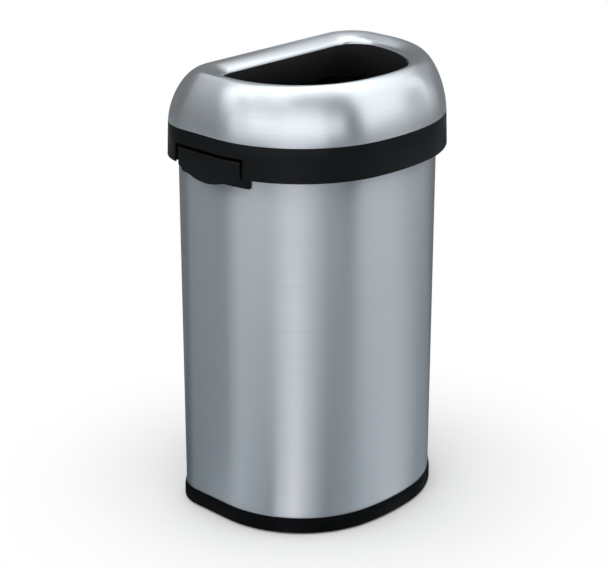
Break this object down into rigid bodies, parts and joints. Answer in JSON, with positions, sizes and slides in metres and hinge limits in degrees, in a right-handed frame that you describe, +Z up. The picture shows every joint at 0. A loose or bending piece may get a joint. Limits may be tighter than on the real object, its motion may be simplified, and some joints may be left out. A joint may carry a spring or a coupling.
{
  "type": "waste bin",
  "caption": "Tall half-round waste bin of brushed steel with black plastic trim, side grips and a lift-off domed lid with a half-round opening.",
  "frame": {"origin": "on the floor, under the middle of the whole bin's bounding box", "axes": "+Z up; the bowed front faces -Y and the flat back faces +Y; X runs across"},
  "size_m": [0.4498, 0.3454, 0.738],
  "materials": {
    "brushed_steel": "fine horizontal brushing, satin",
    "plain_steel": "plain sheet, dull",
    "black_plastic": "smooth satin black",
    "rubber": "matt",
    "zinc": "bright plated"
  },
  "bodies": {
    "body": {"body_shell": "brushed_steel", "base_ring": "black_plastic", "bottom_plate": "plain_steel", "collar": "black_plastic", "left_grip": "black_plastic", "right_grip": "black_plastic", "foot_left_1": "rubber", "foot_left_2": "rubber", "foot_left_3": "rubber", "foot_right_1": "rubber", "foot_right_2": "rubber", "foot_right_3": "rubber", "base_screw_left_1": "zinc", "base_screw_left_2": "zinc", "base_screw_left_3": "zinc", "base_screw_right_1": "zinc", "base_screw_right_2": "zinc", "base_screw_right_3": "zinc", "left_grip_screw_front": "zinc", "left_grip_screw_rear": "zinc", "right_grip_screw_front": "zinc", "right_grip_screw_rear": "zinc"},
    "lid": {"lid_band": "black_plastic", "lid_dome": "brushed_steel", "throat": "black_plastic", "lid_screw_left_1": "zinc", "lid_screw_left_2": "zinc", "lid_screw_left_3": "zinc", "lid_screw_right_1": "zinc", "lid_screw_right_2": "zinc", "lid_screw_right_3": "zinc"}
  },
  "joints": [
    {"name": "lid_lift", "type": "slide", "parent": "body", "child": "lid", "axis": [0, 0, 1], "range_m": [0, 0.16]}
  ]
}
